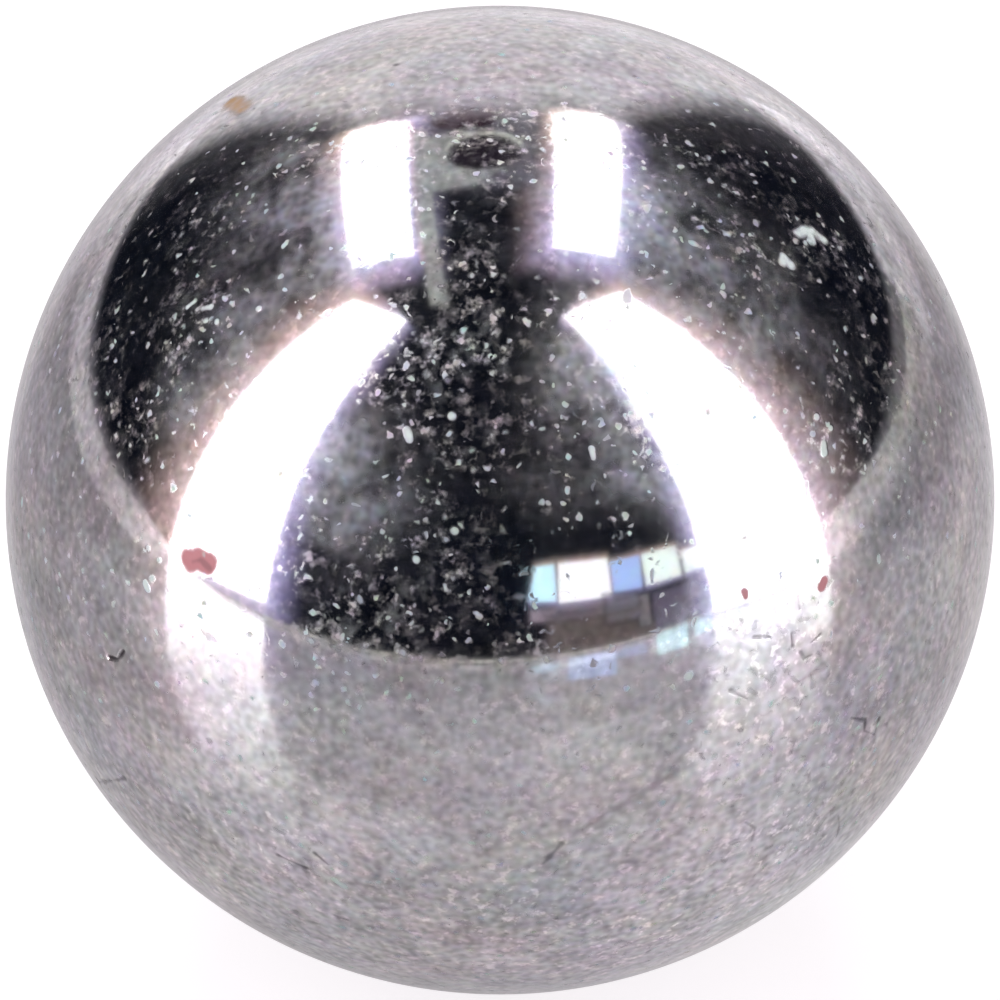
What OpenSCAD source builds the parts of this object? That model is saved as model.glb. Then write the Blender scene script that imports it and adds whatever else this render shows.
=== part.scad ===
// Polished solid steel ball, with its centre at the origin.
// A ball of this kind is headed from bar, flashed, hardened, ground and lapped,
// so it comes out as one solid with no hole, flat, seam or core.

/* [Ball] */
// Diameter of the ball, a standard bearing-ball size of one inch
ball_d = 25.4; // [1:0.1:100]

/* [Hidden] */

// Facets round a great circle, for the drawn mesh
ball_facets = 180;

module ball() {
    color("silver")
        sphere(d = ball_d, $fn = ball_facets);
}

ball();
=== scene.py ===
# %% [markdown]
# # A polished steel ball
#
# The object is one solid ball of hardened bearing steel, an inch across. It was ground and lapped until it
# became a mirror, and then it was used: it carries dust, hair scratches, a few nicks and pits, and small
# spots of rust. A mirror has hardly any colour of its own, so most of this lesson goes into three things: a
# ball mesh that is smooth enough to mirror straight lines, a finish that breaks the mirror up a little, and
# a studio to mirror.
#
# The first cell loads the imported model. It is the fixed frame: nothing in it is moved or resized here.

# %% Load the frame
import math
import random
from collections import namedtuple

import bmesh
import bpy
import numpy as np
from mathutils import Matrix, Vector


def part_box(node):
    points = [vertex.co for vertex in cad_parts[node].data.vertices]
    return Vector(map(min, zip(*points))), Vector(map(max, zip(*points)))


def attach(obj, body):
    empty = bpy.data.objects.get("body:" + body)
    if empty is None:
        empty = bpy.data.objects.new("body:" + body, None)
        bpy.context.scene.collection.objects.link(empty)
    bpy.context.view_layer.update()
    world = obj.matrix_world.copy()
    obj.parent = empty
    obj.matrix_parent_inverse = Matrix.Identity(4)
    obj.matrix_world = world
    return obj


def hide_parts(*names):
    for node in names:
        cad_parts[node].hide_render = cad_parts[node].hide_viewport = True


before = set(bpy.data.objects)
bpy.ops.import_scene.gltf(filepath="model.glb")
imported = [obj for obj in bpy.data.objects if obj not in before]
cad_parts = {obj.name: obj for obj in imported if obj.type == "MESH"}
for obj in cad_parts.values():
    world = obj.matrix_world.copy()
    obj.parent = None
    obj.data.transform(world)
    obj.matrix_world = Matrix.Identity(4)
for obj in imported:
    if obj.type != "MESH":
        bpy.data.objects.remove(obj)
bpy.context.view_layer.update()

node_low, node_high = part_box("ball")
BALL_RADIUS = (node_high.z - node_low.z) / 2
MM = 0.001
print(f"the ball is {2 * BALL_RADIUS / MM:.2f} mm across")

# %% [markdown]
# ## Camera
#
# A ball looks the same from everywhere, but its mirror image doesn't. The camera looks down at 31 degrees
# through a long lens, from so near that the ball all but fills the frame. A long lens stands well back, so
# that the ball shows nearly half of itself. The distance follows from the lens and the share of the frame
# that the ball fills: the sight line that grazes the ball and the line to its centre are two sides of a
# right triangle.

# %% Camera
LENS_MM = 300
SENSOR_MM = 36
LOOK_DOWN = math.radians(31)
FILL = 0.989

half_frame = SENSOR_MM / 2 / LENS_MM
ball_half_angle = math.atan(FILL * half_frame)
camera_distance = BALL_RADIUS / math.sin(ball_half_angle)
toward_camera = Vector((0, -math.cos(LOOK_DOWN), math.sin(LOOK_DOWN)))

camera_data = bpy.data.cameras.new("camera")
camera_data.lens = LENS_MM
camera_data.sensor_width = SENSOR_MM
camera_data.clip_start = 0.01
camera_data.clip_end = 10
camera = bpy.data.objects.new("camera", camera_data)
camera.location = toward_camera * camera_distance
camera.rotation_mode = "QUATERNION"
camera.rotation_quaternion = (-toward_camera).to_track_quat("-Z", "Y")
bpy.context.scene.collection.objects.link(camera)
bpy.context.scene.camera = camera
print(f"the camera stands {camera_distance / MM:.0f} mm from the centre of the ball")

# %% [markdown]
# ## Where things are on the ball
#
# Marks on a ball are placed as on a globe. Azimuth 0 is the side that faces the front, and it grows to the
# right. Elevation 0 is the equator and 90 the top. Everything that is put on the ball below uses this one
# function.

# %% Globe places
def place(azimuth, elevation):
    """The direction from the centre of the ball to a place on it, both in degrees."""
    a, e = math.radians(azimuth), math.radians(elevation)
    return Vector((math.sin(a) * math.cos(e), -math.cos(a) * math.cos(e), math.sin(e)))


print(f"the front of the ball is at {tuple(place(0, 0))}")

# %% [markdown]
# ## Nicks, pits, grooves and crusts
#
# These are the flaws that have a shape of their own, so they are cut into the mesh, or stand up from it,
# and don't only live in the material. Each is a stroke of a tool along a short path: a nick is a wide
# stroke with a depth, a pit is a stroke with a single point, and a crust of dried dirt is a stroke with a
# height. What a stroke leaves behind is paint on the mesh: rust, soot (the dark that gathers in a pit) or
# crust (the pale that stands on it).

# %% Strokes
Stroke = namedtuple("Stroke", "name path width depth rust soot crust")


def nick(name, path, width, depth, soot=0.7, rust=0.0):
    """A cut into the steel. Width and depth are in millimetres."""
    return Stroke(name, [place(*p) for p in path], width * MM, depth * MM, rust, soot, 0.0)


def crust(name, path, width, height):
    """A fleck of dried dirt that stands up from the steel."""
    return Stroke(name, [place(*p) for p in path], width * MM, -height * MM, 0.0, 0.0, 1.0)


def rust(name, path, width, height, amount=1.0):
    """A bloom of rust, slightly raised."""
    return Stroke(name, [place(*p) for p in path], width * MM, -height * MM, amount, 0.0, 0.0)


NICKS = [
    nick("rim nick, long arm", [(-61, -23), (-55, -19), (-50.5, -16)], 0.19, 0.009),
    nick("rim nick, short arm", [(-61, -22.5), (-60, -25.5)], 0.22, 0.011, soot=0.8),
    nick("deep pit", [(-50, 1.5), (-48.5, 2), (-47.5, 3.5)], 0.22, 0.035, soot=1.0),
    nick("front groove", [(-27, -17.5), (-25.5, -18), (-23.5, -18.5)], 0.19, 0.009),
    nick("short groove", [(-22, -15.5), (-20.5, -17)], 0.17, 0.008),
    nick("bright cut", [(-5.5, -25), (-7, -26), (-8, -29)], 0.15, 0.007, soot=0.0),
    nick("long bright cut", [(-8.5, -27.5), (-9.5, -29), (-12, -32.5)], 0.19, 0.008, soot=0.0),
    nick("right hook", [(29.5, -13), (31, -14.5), (31, -16.5)], 0.15, 0.006, soot=0.4),
    nick("right arc", [(34.5, -16), (36.5, -17), (38, -18)], 0.15, 0.006, soot=0.2),
    nick("rim arc", [(45, -19), (46.5, -22), (47, -24)], 0.17, 0.007, soot=0.5),
    nick("ring mark", [(46, -5), (46, -6.5), (48, -8), (48.5, -6)], 0.20, 0.007, soot=0.8),
    nick("dash mark", [(43.5, -3.5), (46, -5)], 0.19, 0.007, soot=0.8),
    nick("comma 1", [(30, 11.5), (32, 11)], 0.17, 0.007, soot=0.5),
    nick("comma 2", [(35, 10.5), (35, 9)], 0.20, 0.008, soot=0.6),
    nick("comma 3", [(36, 8), (36.5, 7), (37.5, 7)], 0.17, 0.007, soot=0.5),
    nick("comma 4", [(36.5, 14.5), (36.5, 13)], 0.17, 0.006, soot=0.4),
    nick("comma 5", [(37.5, 8.5), (39, 9)], 0.15, 0.006, soot=0.4),
    nick("comma 6", [(26.5, 6), (28.5, 4.5)], 0.17, 0.007, soot=0.3),
    nick("crown pit", [(-100, 78)], 0.27, 0.009, soot=0.8),
    nick("long scratch, low end", [(5, -14), (7, -11)], 0.22, 0.002, soot=0.6),
    nick("long scratch, middle", [(9.5, -9), (12, -7), (20, -2.5)], 0.34, 0.002, soot=0.30, rust=0.09),
    nick("long scratch, high end", [(32, 3), (36, 4.5), (39, 5)], 0.32, 0.002, soot=0.28, rust=0.10),
]
RUST_SPOTS = [
    rust("rust bloom", [(-107, 56), (-99, 59)], 1.15, 0.010, amount=0.34),
    rust("red scab", [(-39, 18), (-38, 18.5), (-36.5, 18.5)], 0.88, 0.006, amount=0.8),
    nick("red scab core", [(-38.5, 18), (-37.5, 18.5), (-36, 18)], 0.24, 0.001, soot=0.35, rust=0.3),
    rust("red dot", [(-37, 9.5)], 0.26, 0.002, amount=0.3),
    rust("red pit 1", [(29.5, 17), (29.5, 16.5)], 0.32, 0.002, amount=0.6),
    rust("red pit 2", [(40, 14.5), (40.5, 15)], 0.30, 0.002, amount=0.65),
]
CRUSTS = [
    crust("foot flake 1", [(-45.5, 17)], 0.30, 0.004),
    crust("foot flake 2", [(-43.5, 16.5)], 0.26, 0.004),
    crust("foot flake 3", [(-44, 14)], 0.30, 0.004),
    crust("foot flake 4", [(-48, 12)], 0.24, 0.004),
    crust("foot flake 5", [(-45, 13), (-44.5, 12.5)], 0.22, 0.004),
    crust("big flake", [(65, 50.5), (67, 50), (69, 49), (69.5, 47.5)], 0.42, 0.012),
    crust("big flake, side", [(66.5, 48.5), (67.5, 49)], 0.30, 0.008),
    crust("right flake 1", [(57, 49), (58, 49.5), (58, 48)], 0.38, 0.008),
    crust("right flake 2", [(51, 52.5)], 0.28, 0.008),
    crust("left flake 1", [(-53, 44), (-52, 44.5)], 0.26, 0.008),
    crust("left flake 2", [(-51, 43)], 0.28, 0.008),
    crust("left flake 3", [(-49, 43.5)], 0.26, 0.008),
    crust("left flake 4", [(-43, 47)], 0.22, 0.006),
    crust("left sliver", [(-56, 43), (-55.5, 44)], 0.22, 0.006),
    crust("centre flake 1", [(-13, 38), (-12.5, 37)], 0.32, 0.008),
    crust("centre flake 2", [(-7, 40)], 0.30, 0.008),
    crust("centre flake 3", [(-5.5, 27.5)], 0.28, 0.008),
    crust("centre flake 4", [(-10, 24)], 0.26, 0.008),
    crust("centre flake 5", [(12.5, 35), (12.5, 36)], 0.26, 0.006),
    crust("right flake 3", [(48, 30.5)], 0.28, 0.006),
    crust("right flake 4", [(46.5, 32.5)], 0.24, 0.006),
    crust("right flake 5", [(46, 29.5), (45.5, 28.5)], 0.24, 0.006),
    crust("low flake", [(10, -26)], 0.24, 0.008),
    crust("low right flake", [(50.5, -18.5)], 0.24, 0.008),
    crust("panel flake", [(21.5, 9)], 0.34, 0.003),
    crust("yellow scuff", [(-20, -19.5), (-19, -20.5)], 0.30, 0.0032),
]
strokes = NICKS + RUST_SPOTS + CRUSTS
print(f"{len(NICKS)} nicks, {len(RUST_SPOTS)} rust spots and {len(CRUSTS)} crusts")

# %% [markdown]
# A stroke's edge would look machined if it were a perfect slot, so the distance to it is ruffled by a few
# sine waves that run through the ball in different directions. The same two functions then say how high the
# surface stands anywhere on the ball, and how strongly each paint covers it.

# %% How far a point is from a stroke
RUFFLE_WAVES = [
    (np.array((0.62, 0.48, -0.62)), 5200.0, 0.4),
    (np.array((-0.31, 0.85, 0.43)), 8100.0, 1.7),
    (np.array((0.70, -0.33, 0.63)), 12700.0, 2.9),
]
RUFFLE = 0.18
RUFFLED_WIDTH = 0.45 * MM


def distance_to_path(points, path):
    """The distance in metres from each point on the ball to a path of directions."""
    corners = [np.array(p) * BALL_RADIUS for p in path]
    nearest = np.linalg.norm(points - corners[0], axis=1)
    for start, end in zip(corners, corners[1:]):
        along = end - start
        share = np.clip((points - start) @ along / (along @ along), 0, 1)
        nearest = np.minimum(nearest, np.linalg.norm(points - start - share[:, None] * along, axis=1))
    return nearest


def cover(points, stroke):
    """How much of a stroke lies over each point: 1 on its middle line, 0 outside it."""
    away = distance_to_path(points, stroke.path) / (stroke.width / 2)
    ruffle = RUFFLE * min(1, (RUFFLED_WIDTH / stroke.width) ** 2)
    for direction, waves, shift in RUFFLE_WAVES:
        away = away + ruffle * np.sin(points @ direction * waves + shift)
    inside = np.clip(1 - away, 0, 1)
    return inside * inside * (3 - 2 * inside)


def relief(points):
    """How far the surface stands above the true ball at each point, in metres."""
    height = np.zeros(len(points))
    for stroke in strokes:
        height -= stroke.depth * cover(points, stroke)
    return height


print(f"the deepest nick is {max(s.depth for s in strokes) / MM:.3f} mm deep")

# %% [markdown]
# ## The ball mesh
#
# A globe of meridians has two poles where its faces shrink to slivers, and a mirror finish shows them. So
# the ball starts as a cube whose sides are cut into a grid. Each grid point is then pushed out to the
# radius, along a line that is spaced by equal angles and not by equal lengths, which keeps all the faces
# nearly the same size. While it is still a cube, each side gets its own tile of the texture map, so that
# nothing is stretched.

# %% Cube with a grid on each side
CELLS_PER_SIDE = 84
TILE_COLUMNS = 3
TILE_ROWS = 2
TILE_MARGIN = 0.006


def cube_side(point):
    """Which side of the cube a point lies on, from 0 to 5."""
    axis = max(range(3), key=lambda k: abs(point[k]))
    return 2 * axis + (1 if point[axis] > 0 else 0)


def tile_place(point, side):
    """Where a point on a side of the cube lies on the texture map."""
    across, up = [point[k] for k in range(3) if k != side // 2]
    column, row = side % TILE_COLUMNS, side // TILE_COLUMNS
    inner = 1 - 2 * TILE_MARGIN * TILE_COLUMNS
    u = (column + 0.5 + across / 2 * inner) / TILE_COLUMNS
    v = (row + 0.5 + up / 2 * inner) / TILE_ROWS
    return u, v


def grid_cube(cells):
    """A cube from -1 to 1 with a square grid on each side and a tile of the texture map for each side."""
    bm = bmesh.new()
    bmesh.ops.create_cube(bm, size=2)
    bmesh.ops.subdivide_edges(bm, edges=bm.edges[:], cuts=cells - 1, use_grid_fill=True)
    map_layer = bm.loops.layers.uv.new("OFBake")
    for face in bm.faces:
        side = cube_side(face.calc_center_median())
        for loop in face.loops:
            loop[map_layer].uv = tile_place(loop.vert.co, side)
    return bm


def push_out(bm, radius):
    """Turn the grid cube into a ball, with the grid spaced by equal angles."""
    for vert in bm.verts:
        vert.co = Vector([math.tan(c * math.pi / 4) for c in vert.co]).normalized() * radius


ball_bm = grid_cube(CELLS_PER_SIDE)
push_out(ball_bm, BALL_RADIUS)
cell_size = BALL_RADIUS * math.pi / 2 / CELLS_PER_SIDE
print(f"{len(ball_bm.faces)} faces of {cell_size / MM:.2f} mm")

# %% [markdown]
# The nicks are finer than the grid, so the grid is halved, halved again and halved once more near them,
# with a smaller reach each time. New points of a halved edge lie a little inside the ball and are pushed
# out again.

# %% Finer faces near the strokes
FINER_ROUNDS = 3


def near_strokes(points, reach):
    """Which points lie within reach of the edge of a stroke."""
    near = np.zeros(len(points), bool)
    for stroke in strokes:
        near |= distance_to_path(points, stroke.path) < stroke.width / 2 + reach
    return near


def refine(bm, reach):
    """Halve every edge whose middle is near a stroke."""
    edges = bm.edges[:]
    middles = np.array([(e.verts[0].co + e.verts[1].co) / 2 for e in edges])
    chosen = [e for e, near in zip(edges, near_strokes(middles, reach)) if near]
    bmesh.ops.subdivide_edges(bm, edges=chosen, cuts=1, use_grid_fill=True)
    for vert in bm.verts:
        vert.co = vert.co.normalized() * BALL_RADIUS


for finer in range(FINER_ROUNDS):
    refine(ball_bm, 0.8 * cell_size / 2**finer)
print(f"{len(ball_bm.faces)} faces with the finer ones")

# %% [markdown]
# Now the strokes are pressed in. The shading normals are worked out from the same relief, by looking at how
# it rises a hair's breadth away to either side. They are truer than normals averaged from the faces, and
# they keep the mirror image free of ripples where coarse faces meet fine ones.

# %% Press in the strokes
HAIR = 0.004 * MM


def mesh_object(name, bm):
    """Make an object of a bmesh and link it to the scene."""
    mesh = bpy.data.meshes.new(name)
    bm.to_mesh(mesh)
    bm.free()
    made = bpy.data.objects.new(name, mesh)
    bpy.context.scene.collection.objects.link(made)
    return made


def steepness(points, sideways):
    """How steeply the relief rises in a sideways direction."""
    shifted = points + sideways * HAIR
    shifted *= BALL_RADIUS / np.linalg.norm(shifted, axis=1)[:, None]
    return (relief(shifted) - relief(points)) / HAIR


ball = mesh_object("steel_ball", ball_bm)
count = len(ball.data.vertices)
smooth_points = np.empty(count * 3, np.float32)
ball.data.vertices.foreach_get("co", smooth_points)
smooth_points = smooth_points.reshape(-1, 3).astype(float)
outward = smooth_points / np.linalg.norm(smooth_points, axis=1)[:, None]

helper = np.where(np.abs(outward[:, 2:3]) < 0.7, (0.0, 0.0, 1.0), (1.0, 0.0, 0.0))
east = np.cross(helper, outward)
east /= np.linalg.norm(east, axis=1)[:, None]
north = np.cross(outward, east)
slope_east = steepness(smooth_points, east)
slope_north = steepness(smooth_points, north)
normals = outward - east * slope_east[:, None] - north * slope_north[:, None]
normals /= np.linalg.norm(normals, axis=1)[:, None]

pressed = smooth_points + outward * relief(smooth_points)[:, None]
ball.data.vertices.foreach_set("co", pressed.astype(np.float32).ravel())
ball.data.shade_smooth()
ball.data.normals_split_custom_set_from_vertices(normals.tolist())
ball.data.update()
triangles = sum(len(p.vertices) - 2 for p in ball.data.polygons)
steepest = np.degrees(np.arctan(np.hypot(slope_east, slope_north).max()))
print(f"{triangles} triangles, steepest wall {steepest:.0f} deg")

# %% [markdown]
# ## Paint on the mesh
#
# Seven paints tell the material what lies where. Three of them, rust, soot and crust, follow the strokes.

# %% Rust, soot and crust
FAINTEST = 0.02


def paint(name, values):
    """Keep one value for each vertex under a name that the material can read."""
    layer = ball.data.attributes.new(name, "FLOAT", "POINT")
    layer.data.foreach_set("value", np.clip(values, 0, 1).astype(np.float32))
    print(f"{name}: {np.mean(values > FAINTEST):.1%} of the points")


for paint_name in ("rust", "soot", "crust"):
    layers = [getattr(s, paint_name) * cover(smooth_points, s) for s in strokes if getattr(s, paint_name)]
    paint(paint_name, np.max(layers, axis=0))

# %% [markdown]
# The other four paints are clouds. Dust says how thickly loose specks lie, clean says where there are
# hardly any, wear says how scuffed the steel is, and haze says how thick the film of handling is. Each
# cloud is a soft round patch. On the far side of the ball the clouds lie at random, with a fixed seed.

# %% Clouds
FAR_CLOUDS = 26
FAR_SIDE = 0.1
random.seed(7)


def cloud(direction, spread):
    """A soft round patch: 1 in its middle, fading out over a spread in degrees."""
    angle = np.degrees(np.arccos(np.clip(outward @ np.array(direction), -1, 1)))
    return np.exp(-((angle / spread) ** 2))


def clouds(rows):
    """The sum of patches, each given as azimuth, elevation, spread in degrees, and amount."""
    total = 0
    for azimuth, elevation, spread, amount in rows:
        total = total + amount * cloud(place(azimuth, elevation), spread)
    return total


def far_clouds(amount, spread):
    """Patches at random places on the side that faces away from the camera."""
    rows = []
    while len(rows) < FAR_CLOUDS:
        spot = Vector([random.gauss(0, 1) for _ in range(3)]).normalized()
        if spot.dot(toward_camera) < FAR_SIDE:
            azimuth = math.degrees(math.atan2(spot.x, -spot.y))
            elevation = math.degrees(math.asin(spot.z))
            its_spread = spread * random.uniform(0.6, 1.4)
            its_amount = amount * random.uniform(0.3, 1)
            rows.append((azimuth, elevation, its_spread, its_amount))
    return rows


print(f"{FAR_CLOUDS} clouds for each paint on the far side")

# %% [markdown]
# Dust lies thickest down the middle of the upper front and on both shoulders, and there is a thin layer of
# it everywhere. A cloud with a negative amount makes a place thinner.

# %% Dust
THIN_DUST = 0.10
FRONT_DUST = [
    (-4, 76, 8, 0.5),
    (-7, 53, 6, 0.6),
    (3, 46, 7, 0.6),
    (-12, 42, 6, 0.6),
    (-12, 36, 5, 0.6),
    (12, 37, 6, 0.5),
    (19, 38, 5, 0.6),
    (-2, 38, 4, 0.3),
    (-18, 27, 7, 0.3),
    (-8, 22, 6, 0.5),
    (-11, 14, 4, 0.5),
    (6, 33, 4, 0.4),
    (-16, 17, 9, 0.6),
    (5, 18, 5, 0.4),
    (20, 20, 4, 0.3),
    (16, 10, 5, -0.5),
    (28, 12, 5, -0.5),
    (-50, -12, 18, 0.16),
    (0, -24, 22, 0.16),
    (48, -14, 18, 0.22),
    (-66, 63, 5, 0.5),
    (-65, 52, 5, 0.6),
    (-52, 44, 5, 0.9),
    (-64, 33, 5, 0.25),
    (-50, 37, 5, 0.5),
    (-54, 29, 5, 0.4),
    (55, 62, 6, 0.5),
    (40, 57, 6, 0.5),
    (52, 53, 5, 0.9),
    (68, 48, 4, 1.2),
    (45, 46, 6, 0.5),
    (47, 31, 5, 0.9),
    (58, 28, 7, 0.6),
    (75, 35, 5, 0.3),
]
paint("dust", THIN_DUST + clouds(FRONT_DUST) + clouds(far_clouds(amount=0.8, spread=9)))

# %% [markdown]
# The steel is clean round the mirrored windows and along the mirrored panels.

# %% Clean places
CLEAN_SPOTS = [
    (6, 21, 4, 1.1),
    (12, 21, 4, 1.2),
    (19, 21, 4, 1.4),
    (14, 12, 6, 0.5),
    (22, 52, 4, 1.0),
    (28, 43, 5, 0.7),
    (33, 31, 5, 0.8),
    (36, 20, 6, 0.8),
    (-23, 51, 4, 0.8),
    (-31, 42, 5, 0.7),
    (-36, 31, 5, 0.8),
    (-33, 18, 6, 0.7),
    (-32, 8, 7, 0.4),
]
paint("clean", np.minimum(clouds(CLEAN_SPOTS), 1))

# %% [markdown]
# Most of the fine scuffs are on the lower half and on the right.

# %% Wear
FRONT_WEAR = [
    (33, 8, 8, 1.0),
    (44, -4, 7, 0.9),
    (38, -18, 7, 1.0),
    (26, -2, 5, 0.6),
    (-26, -16, 6, 0.6),
    (-62, -22, 8, 0.5),
    (0, -24, 9, 0.5),
    (20, -34, 9, 0.6),
    (-60, 6, 8, 0.4),
]
paint("wear", clouds(FRONT_WEAR) + clouds(far_clouds(amount=0.8, spread=9)))

# %% [markdown]
# The film of handling dulls the upper half in broad patches, and most of all between the windows and the
# right strip.

# %% Haze
THIN_HAZE = 0.012
FRONT_HAZE = [
    (20, 41, 6.5, 5.0),
    (24, 17, 4, 1.5),
    (25, 31, 4, 1.6),
    (6, 33, 4, 0.25),
    (27, 53, 5, 1.0),
    (-33, 56, 5, 0.8),
    (-21, 31, 6, 1.7),
    (-56, 62, 6, 1.2),
    (-46, 55, 8, 0.7),
    (-42, 44, 6, 0.7),
    (-48, 34, 4, 0.5),
    (34, 61, 9, 0.9),
    (36, 51, 8, 0.7),
    (45, 42, 7, 0.6),
    (46, 28, 5, 0.4),
    (0, -30, 25, 0.3),
    (40, 0, 14, 0.3),
]
paint("haze", THIN_HAZE + clouds(FRONT_HAZE) + clouds(far_clouds(amount=0.5, spread=18)))

# %% [markdown]
# ## Small helpers for materials
#
# A material is a tree of nodes. These helpers add a node, set its options and wire it up in one line, so
# that the cells below read like a recipe. A value that is a socket is linked, and any other value is set on
# the input.

# %% Node helpers
def connect(tree, value, socket):
    """Link a value that is a socket to an input, or set the input to it."""
    if isinstance(value, bpy.types.NodeSocket):
        tree.links.new(value, socket)
    else:
        socket.default_value = value


def add(tree, kind, inputs=None, **options):
    """Add a node, set its options, and link or set its inputs by name or number."""
    made = tree.nodes.new(kind)
    for option, value in options.items():
        setattr(made, option, value)
    for key, value in (inputs or {}).items():
        connect(tree, value, made.inputs[key])
    return made


def calc(tree, operation, first, second=0.0, third=0.0):
    """A Math node's result."""
    inputs = {0: first, 1: second, 2: third}
    return add(tree, "ShaderNodeMath", inputs, operation=operation).outputs[0]


def ramp(tree, value, low, high, soft=True):
    """0 where the value is at low, 1 where it is at high, with soft or straight ends."""
    kind = "SMOOTHSTEP" if soft else "LINEAR"
    inputs = {"Value": value, "From Min": low, "From Max": high}
    return add(tree, "ShaderNodeMapRange", inputs, interpolation_type=kind).outputs["Result"]


def blend_colour(tree, amount, first, second):
    """The first colour where amount is 0, the second where it is 1."""
    made = add(tree, "ShaderNodeMix", data_type="RGBA")
    for key, value in ((0, amount), (6, first), (7, second)):
        connect(tree, value, made.inputs[key])
    return made.outputs[2]


def blend_value(tree, amount, first, second):
    """The first value where amount is 0, the second where it is 1."""
    return add(tree, "ShaderNodeMix", {0: amount, 2: first, 3: second}, data_type="FLOAT").outputs[0]


def shader_group(name, inputs, outputs):
    """A new node group with named sockets: (name, kind, default) for inputs, (name, kind) for outputs."""
    tree = bpy.data.node_groups.new(name, "ShaderNodeTree")
    for label, kind, default in inputs:
        socket = tree.interface.new_socket(label, in_out="INPUT", socket_type=kind)
        if default is not None:
            socket.default_value = default
    for label, kind in outputs:
        tree.interface.new_socket(label, in_out="OUTPUT", socket_type=kind)
    return tree, tree.nodes.new("NodeGroupInput").outputs, tree.nodes.new("NodeGroupOutput").inputs


def use_group(tree, group, inputs):
    """Place a node group in a tree with its own values, and return its outputs."""
    made = tree.nodes.new("ShaderNodeGroup")
    made.node_tree = group
    for key, value in inputs.items():
        connect(tree, value, made.inputs[key])
    return made.outputs


print("the helpers link and set the nodes of every material below")

# %% [markdown]
# ## Specks
#
# Dust, grit and the small commas left by wear are all the same pattern: short strokes at random places,
# each with its own length, bend and direction. A Voronoi texture scatters one point in each cell of a grid
# in space. The group finds where the surface passes close to such a point and measures along and across a
# random direction that lies flat on the ball. An ellipse in those two distances is a fleck, and a bent one
# is a comma. Lengths, widths and depths are in cells, and a speck shows only if its point lies close enough
# under or over the surface.

# %% Speck group
def split(tree, vector):
    """The three parts of a vector or colour."""
    return add(tree, "ShaderNodeSeparateXYZ", {0: vector}).outputs


def vector_calc(tree, operation, first, second=None, scale=None):
    """A Vector Math node's result: a vector, or a number for DOT_PRODUCT, LENGTH and DISTANCE."""
    inputs = {0: first}
    if second is not None:
        inputs[1] = second
    if scale is not None:
        inputs["Scale"] = scale
    outputs = add(tree, "ShaderNodeVectorMath", inputs, operation=operation).outputs
    return outputs["Value"] if operation in ("DOT_PRODUCT", "LENGTH", "DISTANCE") else outputs["Vector"]


SHUFFLE = (7.31, 9.17, 5.73)
SHORTEST = 0.35
EDGE_SOFTNESS = 3.0
DEEPEST = 0.3
specks, given, result = shader_group(
    "Specks",
    [
        ("Vector", "NodeSocketVector", None),
        ("Outward", "NodeSocketVector", None),
        ("Cells per Metre", "NodeSocketFloat", 3000.0),
        ("Length", "NodeSocketFloat", 0.3),
        ("Width", "NodeSocketFloat", 0.1),
        ("Bend", "NodeSocketFloat", 1.0),
        ("Share", "NodeSocketFloat", 0.5),
    ],
    [("Mask", "NodeSocketFloat"), ("Chance", "NodeSocketFloat")],
)
cell_inputs = {"Vector": given["Vector"], "Scale": given["Cells per Metre"]}
cell = add(specks, "ShaderNodeTexVoronoi", cell_inputs).outputs
chances = split(specks, cell["Color"])
dice = vector_calc(specks, "FRACTION", vector_calc(specks, "MULTIPLY", cell["Color"], SHUFFLE))
dice = vector_calc(specks, "SUBTRACT", dice, (0.5, 0.5, 0.5))
away = vector_calc(specks, "SUBTRACT", given["Vector"], cell["Position"])
away = vector_calc(specks, "SCALE", away, scale=given["Cells per Metre"])
axis = vector_calc(specks, "NORMALIZE", vector_calc(specks, "CROSS_PRODUCT", given["Outward"], dice))
other_axis = vector_calc(specks, "CROSS_PRODUCT", given["Outward"], axis)
along = vector_calc(specks, "DOT_PRODUCT", away, axis)
across = vector_calc(specks, "DOT_PRODUCT", away, other_axis)
deep = calc(specks, "ABSOLUTE", vector_calc(specks, "DOT_PRODUCT", away, given["Outward"]))
curve = calc(specks, "MULTIPLY", calc(specks, "MULTIPLY", along, along), given["Bend"])
across = calc(specks, "ADD", across, curve)
size = calc(specks, "MULTIPLY_ADD", chances[1], 1 - SHORTEST, SHORTEST)
along = calc(specks, "DIVIDE", along, calc(specks, "MULTIPLY", given["Length"], size))
across = calc(specks, "DIVIDE", across, given["Width"])
off = calc(specks, "MULTIPLY_ADD", along, along, calc(specks, "MULTIPLY", across, across))
fleck = calc(specks, "POWER", calc(specks, "MAXIMUM", calc(specks, "SUBTRACT", 1.0, off), 0.0), EDGE_SOFTNESS)
here = calc(specks, "LESS_THAN", chances[0], given["Share"])
here = calc(specks, "MULTIPLY", here, calc(specks, "LESS_THAN", deep, DEEPEST))
specks.links.new(calc(specks, "MULTIPLY", fleck, here), result["Mask"])
specks.links.new(chances[2], result["Chance"])
print(f"the speck group has {len(specks.nodes)} nodes")

# %% [markdown]
# ## The steel
#
# The mirror is a Principled BSDF that is all metal, with the pale warm grey of bearing steel as its colour.
# The polish isn't even: a film lies over it where the haze paint is. It is made twice over, as a thin grey
# layer and as a coat with a wide soft lobe, so that mirror images stay sharp but bright things glow. Dust,
# crust and rust aren't metal, so they lower Metallic and raise Roughness. Waviness and commas are cut in
# with a Bump node, whose height is in metres.

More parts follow.
